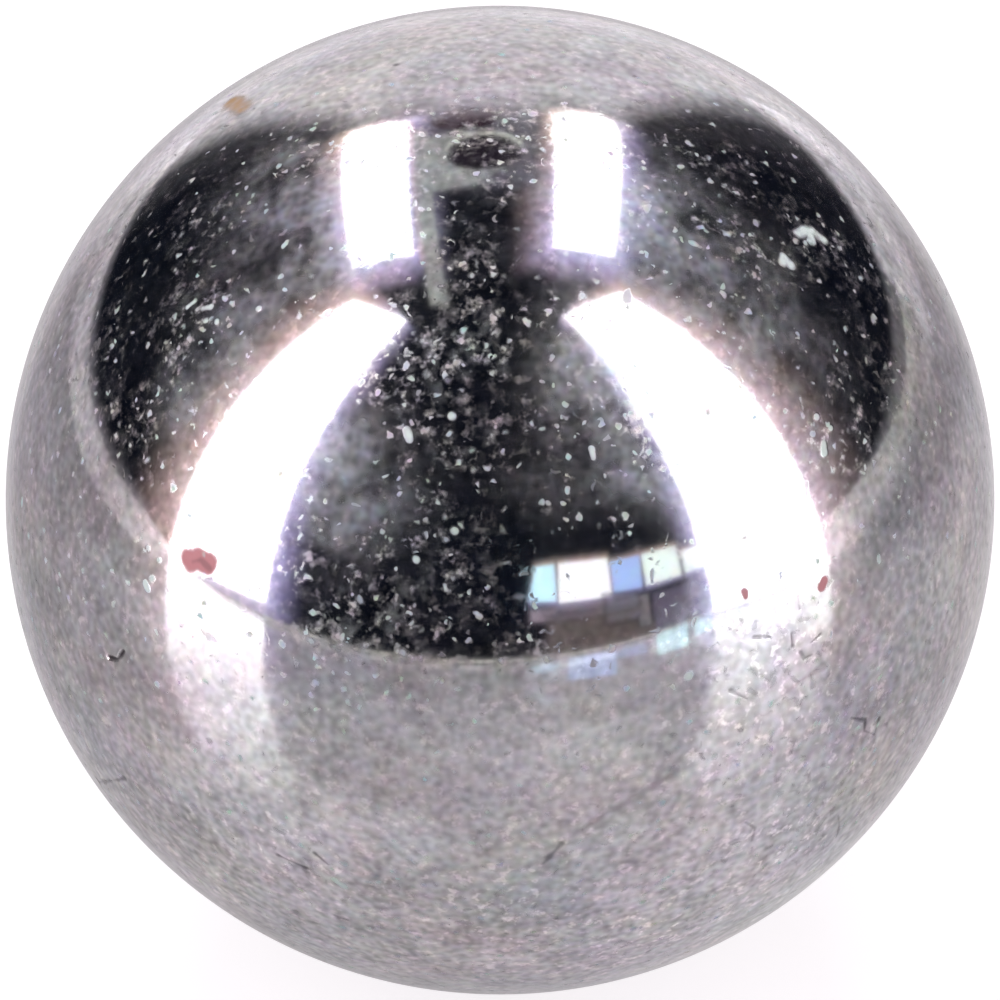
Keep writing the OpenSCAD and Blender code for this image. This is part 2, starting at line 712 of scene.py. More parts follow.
# %% Steel material
STEEL = (0.57, 0.542, 0.562, 1)
GRAIN = 1.0
CLOUDY = 1.4
SPARKLE = 0.42
SOOT = (0.05, 0.04, 0.045, 1)
RUST_PALE = (0.37, 0.23, 0.12, 1)
RUST_RED = (0.50, 0.21, 0.23, 1)
DUST = (0.41, 0.475, 0.49, 1)
FILM = (0.22, 0.265, 0.42, 1)
CRUST = (0.55, 0.61, 0.60, 1)
POLISH_ROUGH = 0.065
WORN_ROUGH = 0.34
FILM_ROUGH = 0.28
DUST_ROUGH = 0.8
FINEST = 4600.0
RAGGED = 0.19 * MM

steel = bpy.data.materials.new("polished_steel")
steel.use_nodes = True
tree = steel.node_tree
shader = tree.nodes["Principled BSDF"]
spot = add(tree, "ShaderNodeTexCoord").outputs["Object"]
away_from_centre = vector_calc(tree, "NORMALIZE", spot)


def painted(name):
    """The paint of that name on the mesh."""
    return add(tree, "ShaderNodeAttribute", attribute_name=name).outputs["Fac"]


def noise_at(scale, detail=2.0, roughness=0.5, output="Fac"):
    """A noise from 0 to 1 with that many waves per metre. Roughness is how strong the finer waves are."""
    inputs = {"Vector": spot, "Scale": scale, "Detail": detail, "Roughness": roughness}
    return add(tree, "ShaderNodeTexNoise", inputs).outputs[output]


# Ragged edges: everything small is drawn on slightly bent space
ruffle = vector_calc(tree, "SUBTRACT", noise_at(FINEST, 1.0, output="Color"), (0.5, 0.5, 0.5))
bent = vector_calc(tree, "ADD", spot, vector_calc(tree, "SCALE", ruffle, scale=RAGGED))


def flecks(cells, length, width, bend, share):
    """A layer of specks: its mask and a chance for each speck."""
    inputs = {"Vector": bent, "Outward": away_from_centre, "Cells per Metre": cells}
    inputs.update({"Length": length, "Width": width, "Bend": bend, "Share": share})
    made = use_group(tree, specks, inputs)
    return made["Mask"], made["Chance"]


print(f"{len(tree.nodes)} nodes to start with")

# %% [markdown]
# Loose dust comes in three sorts: grains, fine grains and short hairs. All lie thicker where the dust paint
# is, and only the fine grains also lie where there is hardly any. Each speck has its own strength.

# %% Loose dust
patchy = ramp(tree, noise_at(750.0, 2.0), 0.36, 0.62)
dusty = calc(tree, "MULTIPLY", painted("dust"), calc(tree, "MULTIPLY_ADD", patchy, 1.1, 0.25))
uncleaned = calc(tree, "SUBTRACT", 1.0, painted("clean"))
dusty = calc(tree, "MULTIPLY", dusty, uncleaned)
grains, chance = flecks(cells=1500.0, length=0.36, width=0.23, bend=1.0, share=dusty)
grains = calc(tree, "MULTIPLY", grains, calc(tree, "MULTIPLY_ADD", chance, 0.80, 0.15))
sparse = calc(tree, "MULTIPLY", uncleaned, 0.12)
often = calc(tree, "MULTIPLY_ADD", dusty, 1.8, sparse)
fines, chance = flecks(cells=2600.0, length=0.50, width=0.33, bend=1.2, share=often)
fines_strength = calc(tree, "MULTIPLY_ADD", calc(tree, "POWER", chance, 1.5), 0.75, 0.10)
fines = calc(tree, "MULTIPLY", fines, fines_strength)
rarely = calc(tree, "MULTIPLY", dusty, 0.9)
hairs, chance = flecks(cells=1250.0, length=0.42, width=0.12, bend=1.6, share=rarely)
hairs = calc(tree, "MULTIPLY", hairs, calc(tree, "MULTIPLY_ADD", chance, 0.35, 0.06))
print(f"{len(tree.nodes)} nodes with the dust")

# %% [markdown]
# Between the specks lies a grey bloom, in crumbs and in clouds. The flakes of dried dirt take their place
# from the crust paint, and a noise breaks them up.

# %% Bloom and flakes
grain = noise_at(FINEST, 0.0)
crumbly = noise_at(2900.0, 2.0, 0.7)
sparkle = ramp(tree, crumbly, 0.55, 0.72)
crumbly = ramp(tree, crumbly, 0.52, 0.84, soft=False)
powder = ramp(tree, noise_at(1900.0, 2.0, 0.8), 0.40, 0.72)
powder = calc(tree, "MULTIPLY_ADD", crumbly, 0.60, calc(tree, "MULTIPLY", powder, 0.13))
powder = calc(tree, "MULTIPLY", powder, dusty)
crumbs = calc(tree, "POWER", painted("crust"), 1.5)
crumbs = calc(tree, "MULTIPLY", crumbs, calc(tree, "MULTIPLY_ADD", noise_at(5000.0, 1.0), 1.8, 0.1))
crumbs = ramp(tree, crumbs, 0.0, 1.15, soft=False)
dirt = calc(tree, "MAXIMUM", calc(tree, "MAXIMUM", grains, fines), calc(tree, "MAXIMUM", hairs, crumbs))
dirt = calc(tree, "MAXIMUM", dirt, powder)
fine_tints = vector_calc(tree, "SUBTRACT", noise_at(2900.0, 1.0, output="Color"), (0.5, 0.5, 0.5))
dust_tint = vector_calc(tree, "ADD", vector_calc(tree, "SCALE", fine_tints, scale=1.2), (1, 1, 1))
dust_colour = vector_calc(tree, "MULTIPLY", dust_tint, DUST[:3])
print(f"{len(tree.nodes)} nodes with the bloom and the flakes")

# %% [markdown]
# The steel itself is a mottle of light and dark at several scales, with the faint colours of a handled
# surface. It is weaker on the upper half, which is polished better, and it is gone where the ball was
# wiped.

# %% Mottle
mottle = calc(tree, "MULTIPLY", calc(tree, "SUBTRACT", grain, 0.5), GRAIN)
mottle = calc(tree, "MULTIPLY_ADD", calc(tree, "SUBTRACT", noise_at(800.0, 3.0, 0.7), 0.5), CLOUDY, mottle)
handled = blend_value(tree, ramp(tree, split(tree, spot)["Z"], 0.0, -0.008), 0.7, 1.0)
handled = calc(tree, "MULTIPLY", handled, uncleaned)
sparkle = calc(tree, "MULTIPLY", sparkle, calc(tree, "MULTIPLY_ADD", painted("wear"), 1.5, 1.0))
mottle = calc(tree, "MULTIPLY_ADD", sparkle, SPARKLE, mottle)
mottle = calc(tree, "MULTIPLY_ADD", mottle, handled, 0.985)
tints = vector_calc(tree, "SUBTRACT", noise_at(330.0, 2.0, output="Color"), (0.5, 0.5, 0.5))
tints = vector_calc(tree, "ADD", vector_calc(tree, "SCALE", tints, scale=0.22), (1, 1, 1))
tints = vector_calc(tree, "ADD", vector_calc(tree, "SCALE", fine_tints, scale=0.16), tints)
colour = vector_calc(tree, "SCALE", vector_calc(tree, "MULTIPLY", tints, STEEL[:3]), scale=mottle)
print(f"{len(tree.nodes)} nodes with the mottle")

# %% [markdown]
# Over the mottle come marks of wear, which are the low spots of a distorted noise, like short dark commas.
# Then come rust, soot, the film, the dust and the flakes, in the order in which they lie on the steel. The
# rust is red low on the ball and brown near its top.

# %% Marks, rust, film and dirt
marks = add(tree, "ShaderNodeTexNoise", {"Vector": spot, "Scale": 3300.0, "Detail": 1.0, "Distortion": 0.6})
marks = calc(tree, "MULTIPLY_ADD", painted("wear"), -0.11, marks.outputs["Fac"])
marks = ramp(tree, marks, 0.35, 0.20)
colour = blend_colour(tree, calc(tree, "MULTIPLY", marks, 0.27), colour, SOOT)
rusty = calc(tree, "MULTIPLY", painted("rust"), calc(tree, "MULTIPLY_ADD", noise_at(4200.0, 1.0), 0.9, 0.55))
rusty = ramp(tree, rusty, 0.03, 0.42)
rust_side = ramp(tree, split(tree, spot)["Z"], 0.006, 0.009)
rust_colour = blend_colour(tree, rust_side, RUST_RED, RUST_PALE)
colour = blend_colour(tree, rusty, colour, rust_colour)
colour = blend_colour(tree, painted("soot"), colour, SOOT)
wisps = ramp(tree, noise_at(600.0, 2.0, 0.65), 0.35, 0.69, soft=False)
film = calc(tree, "MULTIPLY", painted("haze"), calc(tree, "MULTIPLY_ADD", wisps, 1.4, 0.22))
film = calc(tree, "MULTIPLY", film, calc(tree, "MULTIPLY_ADD", grain, 0.9, 0.55))
film = calc(tree, "MULTIPLY", film, uncleaned)
grey_film = calc(tree, "MINIMUM", calc(tree, "MULTIPLY", film, 0.34), 0.55)
film_colour = vector_calc(tree, "MULTIPLY", dust_tint, FILM[:3])
colour = blend_colour(tree, grey_film, colour, film_colour)
colour = blend_colour(tree, dirt, colour, dust_colour)
colour = blend_colour(tree, crumbs, colour, CRUST)
tree.links.new(colour, shader.inputs["Base Color"])
print(f"{len(tree.nodes)} nodes with all the colours")

# %% [markdown]
# What covers the steel isn't metal and isn't smooth. The film also spreads the mirror image, and the relief
# that is finer than the mesh is a bump.

# %% Roughness and fine relief
WAVE_HEIGHT = 0.0003 * MM
MARK_DEPTH = 0.0008 * MM
COAT_SHARE = 0.36
COAT_IOR = 3.0

covered = calc(tree, "MAXIMUM", calc(tree, "MAXIMUM", dirt, grey_film), calc(tree, "MULTIPLY", rusty, 0.9))
bare = calc(tree, "SUBTRACT", 1.0, covered)
tree.links.new(bare, shader.inputs["Metallic"])
rough = blend_value(tree, calc(tree, "MAXIMUM", painted("soot"), marks), POLISH_ROUGH, WORN_ROUGH)
rough = blend_value(tree, calc(tree, "MAXIMUM", dirt, rusty), rough, DUST_ROUGH)
tree.links.new(rough, shader.inputs["Roughness"])

tree.links.new(calc(tree, "MULTIPLY", film, COAT_SHARE), shader.inputs["Coat Weight"])
shader.inputs["Coat Roughness"].default_value = FILM_ROUGH
shader.inputs["Coat IOR"].default_value = COAT_IOR

waviness = calc(tree, "MULTIPLY", noise_at(1500.0, 2.0), WAVE_HEIGHT)
height = calc(tree, "MULTIPLY_ADD", marks, -MARK_DEPTH, waviness)
bump = add(tree, "ShaderNodeBump", {"Height": height, "Distance": 1.0, "Strength": 1.0})
tree.links.new(bump.outputs[0], shader.inputs["Normal"])
ball.data.materials.append(steel)
print(f"the steel material has {len(tree.nodes)} nodes")

# %% [markdown]
# ## The table
#
# The ball stands on a pale satin sheet, so its lower half mirrors an even pale grey. The sheet ends in
# front of the ball, a little askew, and behind that edge is the dark of the room. It curls up slightly
# toward that edge, so the front part is cut into strips that can bend.

# %% Table mesh
TABLE_CURL = 0.14
TABLE_STRIPS = 32
STRIP_WIDTH = 0.01
TABLE_CORNERS = [
    (-0.95, 2.5),
    (-0.95, -0.036),
    (-0.45, -0.068),
    (-0.194, -0.067),
    (0.60, -0.305),
    (2.5, -0.305),
    (2.5, 2.5),
]


def table_height(y):
    """The height of the table, which curls up toward its front edge."""
    return node_low.z + TABLE_CURL * max(0, -y) ** 2


table_bm = bmesh.new()
bmesh.ops.contextual_create(table_bm, geom=[table_bm.verts.new((x, y, 0)) for x, y in TABLE_CORNERS])
for strip in range(TABLE_STRIPS):
    parts = table_bm.verts[:] + table_bm.edges[:] + table_bm.faces[:]
    cut_place = (0, -STRIP_WIDTH * strip, 0)
    bmesh.ops.bisect_plane(table_bm, geom=parts, plane_co=cut_place, plane_no=(0, 1, 0))
for vert in table_bm.verts:
    vert.co.z = table_height(vert.co.y)
bmesh.ops.recalc_face_normals(table_bm, faces=table_bm.faces)
table = mesh_object("table", table_bm)
table.data.shade_smooth()
print(f"the table lies at {node_low.z / MM:.1f} mm")

# %% [markdown]
# In mirror rays the sheet's glow is painted light and shade: it is low round the ball and lower still to its
# right, higher behind it, and highest to the left, where it fades toward the far left end. Close round the
# ball are soft round places where the glow is painted brighter or duller, which give its lower half its
# uneven greys. For the camera the whole sheet is white, up to its far end. The glow is switched on by Light
# Path for camera, glossy and transmission rays, while the lamps still light the sheet and the ball still
# shades it.

# %% Table material
TABLE_COLOUR = (0.28, 0.272, 0.28, 1)
TABLE_IOR = 1.75
TABLE_ROUGH = 0.15
DULL_ROUGH = 0.7
SHEET_GLOW = 0.55
LEFT_END_GLOW = 0.22
DIM_GLOW = 0.14
NEAR_SHADE_GLOW = 0.195
BACK_GLOW = 0.36
CAMERA_GLOW = 0.80
FAR_GLOW = 0.25
REAR_TINT = (1, 0.965, 0.985, 1)
FRONT_TINT = (0.955, 0.95, 1, 1)
CAMERA_TINT = (1, 0.97, 0.99, 1)
# Painted light and shade on the sheet in mirror rays: x, y, reach, core and a glow added (brighter) or taken
# away (duller).
GLOW_ROUNDS = [
    (0.010, 0.001, 0.046, 0.012, 0.115),
    (0.045, 0.015, 0.035, 0.010, 0.13),
    (0.012, -0.006, 0.016, 0.004, 0.14),
    (0.021, -0.003, 0.014, 0.003, -0.12),
    (-0.024, 0.003, 0.012, 0.003, -0.05),
    (0.015, -0.034, 0.018, 0.004, 0.12),
    (-0.028, -0.034, 0.018, 0.004, 0.10),
    (-0.013, -0.015, 0.009, 0.002, 0.10),
    (0, -0.042, 0.026, 0.006, 0.09),
    (-0.060, -0.012, 0.030, 0.006, 0.14),
]

table_paint = bpy.data.materials.new("table_sheet")
table_paint.use_nodes = True
table_paint.cycles.emission_sampling = "NONE"
tree = table_paint.node_tree
shader = tree.nodes["Principled BSDF"]
shader.inputs["Base Color"].default_value = TABLE_COLOUR
shader.inputs["IOR"].default_value = TABLE_IOR
spot = add(tree, "ShaderNodeTexCoord").outputs["Object"]
sides = split(tree, spot)


def glow_round(x, y, reach, core):
    """A soft round place on the table: 1 inside its core, 0 beyond its reach."""
    return ramp(tree, vector_calc(tree, "DISTANCE", spot, (x, y, node_low.z)), reach, core)


under_ball = ramp(tree, vector_calc(tree, "LENGTH", spot), 0.032, 0.021)
dull_patch = calc(tree, "MULTIPLY", glow_round(0.036, -0.078, 0.036, 0.022), 0.6)
dull_part = calc(tree, "MAXIMUM", under_ball, dull_patch)
tree.links.new(blend_value(tree, dull_part, TABLE_ROUGH, DULL_ROUGH), shader.inputs["Roughness"])

# The sheet's glow in mirror rays is painted light and shade: low near the ball, lower to its right, higher
# behind it and to the left.
left_of_near_shade = ramp(tree, sides["X"], -0.13, -0.15)
far_left = ramp(tree, sides["X"], -0.40, -1.1)
to_the_right = ramp(tree, sides["X"], 0.12, 0.25)
behind_near_shade = ramp(tree, sides["Y"], 0.085, 0.105)
behind_near_shade = calc(tree, "MULTIPLY", behind_near_shade, calc(tree, "SUBTRACT", 1.0, to_the_right))
glow = blend_value(tree, to_the_right, NEAR_SHADE_GLOW, DIM_GLOW)
glow = blend_value(tree, behind_near_shade, glow, BACK_GLOW)
glow = blend_value(tree, left_of_near_shade, glow, blend_value(tree, far_left, SHEET_GLOW, LEFT_END_GLOW))
for x, y, reach, core, amount in GLOW_ROUNDS:
    glow = calc(tree, "MULTIPLY_ADD", glow_round(x, y, reach, core), amount, glow)

path = add(tree, "ShaderNodeLightPath").outputs
mirrored = calc(tree, "MAXIMUM", path["Is Glossy Ray"], path["Is Transmission Ray"])
glow = calc(tree, "MULTIPLY", mirrored, glow)
far_end = ramp(tree, sides["Y"], 0.34, 0.44)
seen_glow = calc(tree, "MULTIPLY_ADD", far_end, FAR_GLOW, CAMERA_GLOW)
glow = calc(tree, "MULTIPLY_ADD", path["Is Camera Ray"], seen_glow, glow)
tree.links.new(glow, shader.inputs["Emission Strength"])
tint = blend_colour(tree, ramp(tree, sides["Y"], -0.02, -0.045), REAR_TINT, FRONT_TINT)
tint = blend_colour(tree, path["Is Camera Ray"], tint, CAMERA_TINT)
tree.links.new(tint, shader.inputs["Emission Color"])
table.data.materials.append(table_paint)
print(f"{len(GLOW_ROUNDS)} soft places on the table")

# %% [markdown]
# ## The studio
#
# Everything here is only there to be mirrored, so the camera doesn't see it. Each piece is a flat shape
# with a fringe round it: a painted glow, warm on one side and violet on the other, like the bright coloured
# edge that a simple lens puts round bright things. The fringe is the rim of the sheet, extruded outward.
# Each point keeps how far the glow has faded there.

# %% Sheets with a fringe
# Tints of the painted lens glow on the fringes: warm on one side, violet on the other.
WARM = (1.0, 0.74, 0.64)
VIOLET = (0.66, 0.60, 1.0)
TINT_CHANGE = 10
FLAT = 0.001


def only_mirrored(made, lights=False):
    """Keep a studio piece out of the camera's view and out of the shadows."""
    made.visible_camera = False
    made.visible_shadow = False
    made.visible_diffuse = lights
    made.visible_transmission = True
    return made


def spread_rim(bm, middle, fringe):
    """Extrude the rim of a sheet outward by a width, or by one for each axis, and return the new parts."""
    rim = bmesh.ops.extrude_edge_only(bm, edges=bm.edges[:])["geom"]
    outer = [item for item in rim if isinstance(item, bmesh.types.BMVert)]
    half_size = [max(abs(v.co[k] - middle[k]) for v in bm.verts) for k in range(3)]
    widths = fringe if isinstance(fringe, tuple) else (fringe, fringe, fringe)
    grow = [1 + w / h if h > FLAT else 1 for w, h in zip(widths, half_size)]
    bmesh.ops.scale(bm, verts=outer, vec=grow, space=Matrix.Translation(-middle))
    return outer, [item for item in rim if isinstance(item, bmesh.types.BMFace)]


def sheet(name, corners, materials, fringe=0.0, warm_side=(0, 0, 0), lights=False):
    """A flat sheet with the given corners. Its fringe, if any, takes the last material."""
    bm = bmesh.new()
    bmesh.ops.contextual_create(bm, geom=[bm.verts.new(c) for c in corners])
    fade = bm.verts.layers.float.new("fade")
    tint = bm.verts.layers.float_vector.new("tint")
    middle = sum((v.co for v in bm.verts), Vector()) / len(bm.verts)
    for vert in bm.verts:
        vert[fade] = 1.0
    if fringe:
        outer, rim_faces = spread_rim(bm, middle, fringe)
        for vert in outer:
            vert[fade] = 0.0
        for face in rim_faces:
            face.material_index = len(materials) - 1
    for vert in bm.verts:
        warm = 0.5 + TINT_CHANGE * (vert.co - middle).dot(Vector(warm_side))
        vert[tint] = Vector(VIOLET).lerp(Vector(WARM), min(1, max(0, warm)))
    made = only_mirrored(mesh_object(name, bm), lights)
    for material in materials:
        made.data.materials.append(material)
    return made


print("sheets fade from their corners outward")

# %% [markdown]
# Three materials cover all the sheets. A flat one gives off the same light everywhere. A fading one turns
# clear toward its outer points. A fringe one is clear and adds a fading glow to what lies behind it.

# %% Sheet materials
def flat_material(name, colour, strength, lights=False):
    """A stage material that only gives off light, the same in all directions."""
    made = bpy.data.materials.new(name)
    made.use_nodes = True
    nodes = made.node_tree
    nodes.nodes.clear()
    glow = add(nodes, "ShaderNodeEmission", {"Color": colour, "Strength": strength})
    output = add(nodes, "ShaderNodeOutputMaterial")
    nodes.links.new(glow.outputs[0], output.inputs["Surface"])
    made.cycles.emission_sampling = "AUTO" if lights else "NONE"
    return made


def glow_parts(made):
    """The node tree of a flat material, its glow, its output, how far it has faded and a clear surface."""
    nodes = made.node_tree
    glow = next(n for n in nodes.nodes if n.type == "EMISSION")
    output = next(n for n in nodes.nodes if n.type == "OUTPUT_MATERIAL")
    fade = add(nodes, "ShaderNodeAttribute", attribute_name="fade").outputs["Fac"]
    clear = add(nodes, "ShaderNodeBsdfTransparent").outputs[0]
    return nodes, glow, output.inputs["Surface"], fade, clear


def fading_material(name, colour, strength, power=2.0):
    """A pale sheet that turns clear toward the outer points of its fringe."""
    made = flat_material(name, colour, strength)
    nodes, glow, surface, fade, clear = glow_parts(made)
    inputs = {0: calc(nodes, "POWER", fade, power), 1: clear, 2: glow.outputs[0]}
    mixed = add(nodes, "ShaderNodeMixShader", inputs)
    nodes.links.new(mixed.outputs[0], surface)
    return made


def fringe_material(name, strength, power=3.0, tint_colour=None):
    """A clear sheet that adds a fading glow, in its own tint or the given one, to what lies behind it."""
    made = flat_material(name, tint_colour or (1, 1, 1, 1), 1.0)
    nodes, glow, surface, fade, clear = glow_parts(made)
    if tint_colour is None:
        tint = add(nodes, "ShaderNodeAttribute", attribute_name="tint").outputs["Color"]
        nodes.links.new(tint, glow.inputs["Color"])
    faded = calc(nodes, "MULTIPLY", calc(nodes, "POWER", fade, power), strength)
    nodes.links.new(faded, glow.inputs["Strength"])
    both = add(nodes, "ShaderNodeAddShader", {0: clear, 1: glow.outputs[0]})
    nodes.links.new(both.outputs[0], surface)
    return made


print("three kinds of sheet material")

# %% [markdown]
# Four soft light panels stand round the ball: two upright ones at its sides, and two strips overhead. The
# front ends of the strips have a violet glow before them, and the left panel has one under its foot. The
# room round it all is a big dark box.

# %% Light panels and room
CEILING = 0.59
LEFT_WALL = -0.245
RIGHT_WALL = 0.17
GAP_DROP = 0.005
ROOM_REACH = 3.0
ROOM_GLOW = 0.013
FRINGE_GLOW = 1.45
PANEL_FRINGE = 0.075
STRIP_FRINGE = 0.10
PANEL_WHITE = (1, 0.985, 0.99, 1)
Panel = namedtuple("Panel", "name strength fringe warm_side corners")


def on_side(x, outline):
    """Corners that share one x, from an outline in y and z."""
    return [(x, y, z) for y, z in outline]


def at_height(z, outline):
    """Corners that share one z, from an outline in x and y."""
    return [(x, y, z) for x, y in outline]


LEFT_PANEL = [(-0.055, -0.012), (-0.190, -0.010), (-0.187, 0.66), (-0.052, 0.42)]
RIGHT_PANEL = [(-0.043, -0.012), (-0.160, -0.008), (-0.199, 0.71), (-0.046, 0.37)]
LEFT_STRIP = [
    (-0.345, 0.57),
    (-0.325, 0.60),
    (-0.190, 0.53),
    (-0.184, 0.50),
    (-0.180, 0.008),
    (-0.328, 0.022),
]
RIGHT_STRIP = [
    (0.106, 0.50),
    (0.118, 0.54),
    (0.200, 0.59),
    (0.240, 0.57),
    (0.250, 0.53),
    (0.243, 0.020),
    (0.108, 0.010),
]
PANELS = [
    Panel("left_panel", 6.2, PANEL_FRINGE, (0, 1, 0.1), on_side(LEFT_WALL, LEFT_PANEL)),
    Panel("right_panel", 3.9, PANEL_FRINGE, (0, 1, 0.20), on_side(RIGHT_WALL, RIGHT_PANEL)),
    Panel("left_strip", 4.6, STRIP_FRINGE, (-1, 0.3, 0), at_height(CEILING, LEFT_STRIP)),
    Panel("right_strip", 4.6, STRIP_FRINGE, (-1, 0.3, 0), at_height(CEILING, RIGHT_STRIP)),
]
GAPS = {
    "left_gap": [(-0.32, -0.05), (-0.20, -0.05), (-0.20, -0.01), (-0.32, -0.01)],
    "right_gap": [(0.12, -0.05), (0.24, -0.05), (0.24, -0.01), (0.12, -0.01)],
}
LEFT_FOOT = [(-0.05, -0.012), (-0.19, -0.010), (-0.19, -0.03), (-0.05, -0.03)]
FOOT_WALL = -0.24

panel_fringe = fringe_material("panel_fringe", FRINGE_GLOW, power=2.0)
for panel in PANELS:
    panel_light = flat_material(panel.name, PANEL_WHITE, panel.strength, lights=True)
    sheet(panel.name, panel.corners, [panel_light, panel_fringe], panel.fringe, panel.warm_side, lights=True)
gap_glow = fringe_material("gap_glow", 0.36, 1.5, (0.90, 0.68, 1, 1))
for gap_name, corners in GAPS.items():
    sheet(gap_name, at_height(CEILING - GAP_DROP, corners), [gap_glow], 0.03)

room_dark = flat_material("room_dark", (0.35, 0.50, 1.0, 1), ROOM_GLOW)
room_bm = bmesh.new()
bmesh.ops.create_cube(room_bm, size=2 * ROOM_REACH)
bmesh.ops.reverse_faces(room_bm, faces=room_bm.faces)
room = only_mirrored(mesh_object("room", room_bm))
room.data.materials.append(room_dark)
sheet("left_foot", on_side(FOOT_WALL, LEFT_FOOT), [flat_material("foot_violet", (0.86, 0.78, 1, 1), 1.12)])
print(f"{len(PANELS)} light panels in a dark room")

# %% [markdown]
# The backdrop is a pale sheet behind the ball, with a soft edge that reaches far up, and a wider faint glow
# in front of it. To its right stands a low pale wall.

# %% Backdrop
BACK_WALL = 0.44
GLOW_STEP = 0.005
LOW_WALL_STEP = 0.01
PAPER = (1, 0.965, 0.995, 1)
PAPER_GLOW = 0.80
LOW_WALL_GLOW = 0.60


def upright(y, left, right, low, high):
    """The corners of an upright rectangle across the room."""
    return [(left, y, low), (right, y, low), (right, y, high), (left, y, high)]


SCREEN = (-0.192, 0.156, -0.05, 0.345)
LOW_WALL = (0.16, 0.42, -0.05, 0.02)
paper_core = flat_material("backdrop_paper", PAPER, PAPER_GLOW)
paper_edge = fringe_material("backdrop_edge", PAPER_GLOW, 1.2, PAPER)
glow_edge = fringe_material("backdrop_glow", 0.12, 1.3, PAPER)
sheet("backdrop_glow", upright(BACK_WALL - GLOW_STEP, *SCREEN), [glow_edge], fringe=(0.17, 0, 0.55))
sheet("backdrop", upright(BACK_WALL, *SCREEN), [paper_core, paper_edge], fringe=(0.07, 0, 0.22))
wall_core = flat_material("low_wall", PAPER, LOW_WALL_GLOW)
wall_edge = fringe_material("low_wall_edge", LOW_WALL_GLOW, 1.0, PAPER)
sheet("low_wall", upright(BACK_WALL + LOW_WALL_STEP, *LOW_WALL), [wall_core, wall_edge], fringe=0.04)
print(f"the backdrop is {BACK_WALL / MM:.0f} mm behind the ball")

# %% [markdown]
# Overhead, between the strips, hangs a grey housing with a plate that has two round holes, and a rail runs
# from it toward the front. Each piece hangs a little lower than the one that it covers.

# %% Overhead gear
GEAR_TOP = 0.01
DISC_CORNERS = 32
Gear = namedtuple("Gear", "name drop colour strength fringe outline")
HOUSING = [(-0.12, 0.20), (0.06, 0.20), (0.08, 0.70), (-0.12, 0.70)]
PLATE = [
    (-0.138, 0.185),
    (-0.050, 0.190),
    (0.0, 0.24),
    (0.015, 0.31),
    (-0.01, 0.38),
    (-0.05, 0.395),
    (-0.135, 0.39),
]
RAIL = [(-0.168, 0.46), (-0.140, 0.42), (-0.132, 0.20), (-0.116, -0.13), (-0.150, -0.13)]
RAIL_EDGE = [(-0.178, 0.50), (-0.168, 0.50), (-0.154, -0.02), (-0.162, -0.02)]
GEAR = [
    Gear("housing", 0.0, (0.88, 0.84, 1, 1), 0.20, 0.06, HOUSING),
    Gear("plate", 0.004, (0.93, 1, 0.95, 1), 0.60, 0.025, PLATE),
    Gear("rail", 0.006, (0.96, 1, 0.97, 1), 0.60, 0.014, RAIL),
    Gear("rail_edge", 0.010, (1, 0.80, 0.88, 1), 0.9, 0.012, RAIL_EDGE),
]


def disc(name, x, y, radius, drop, colour, strength):
    """A round part of the gear, or a hole in it, as a disc just below it."""
    bm = bmesh.new()
    bmesh.ops.create_circle(bm, cap_ends=True, segments=DISC_CORNERS, radius=radius)
    bmesh.ops.translate(bm, verts=bm.verts, vec=(x, y, CEILING - GEAR_TOP - drop))
    made = only_mirrored(mesh_object(name, bm))
    made.data.materials.append(flat_material(name, colour, strength))


for gear in GEAR:
    raised = at_height(CEILING - GEAR_TOP - gear.drop, gear.outline)
    sheet(gear.name, raised, [fading_material(gear.name, gear.colour, gear.strength)], gear.fringe)
disc("hole_collar", -0.030, 0.318, 0.074, 0.010, (0.95, 1, 0.90, 1), 0.95)
disc("front_hole", -0.030, 0.300, 0.070, 0.012, (0.8, 0.6, 1, 1), 0.03)
disc("rear_hole", -0.065, 0.472, 0.068, 0.012, (1, 0.45, 0.85, 1), 0.05)
print(f"{len(GEAR)} pieces of gear hang over the ball")

# %% [markdown]
# A row of windows is far off to the front right. Each pane is given by the directions of its corners as
# seen from the ball, and stands where those sight lines meet the window wall.

# %% Windows
WINDOW_WALL = 1.0
PANE_FRINGE = (0.014, 0, 0.045)
PANES = [
    ((6.5, 8), (8, 15.5), (12.5, 16), (12.5, 7.5), (0.55, 0.85, 1.0, 1), 2.2),
    ((13, 7), (13.5, 16), (25, 15.5), (25, 7), (0.96, 1.0, 1.0, 1), 2.1),
    ((25.5, 7.5), (25.5, 14.5), (32.5, 14.5), (32, 7.5), (0.42, 0.60, 1.0, 1), 1.75),
    ((33, 7.5), (33, 14.5), (41.5, 14), (41.5, 7.5), (0.85, 1.0, 0.95, 1), 1.9),
    ((42.5, 7.5), (42.5, 12.5), (47.5, 12), (47.5, 7.5), (0.88, 1.0, 0.95, 1), 1.8),
]


def toward_wall(azimuth, elevation):
    """Where a sight line from the ball meets the window wall, in degrees from the front."""
    line = place(azimuth, elevation)
    return line * (WINDOW_WALL / -line.y)


for number, (*corners, colour, strength) in enumerate(PANES, 1):
    pane = flat_material(f"pane_{number}", colour, strength)
    fringe = fringe_material(f"pane_fringe_{number}", 1.0, power=2.0)
    sheet(f"pane_{number}", [toward_wall(*c) for c in corners], [pane, fringe], PANE_FRINGE, (0, 0, 1))
print(f"{len(PANES)} window panes")

# %% [markdown]
# Under the windows there are glimpses of a sill, a wall, a post, a ledge and a shade.

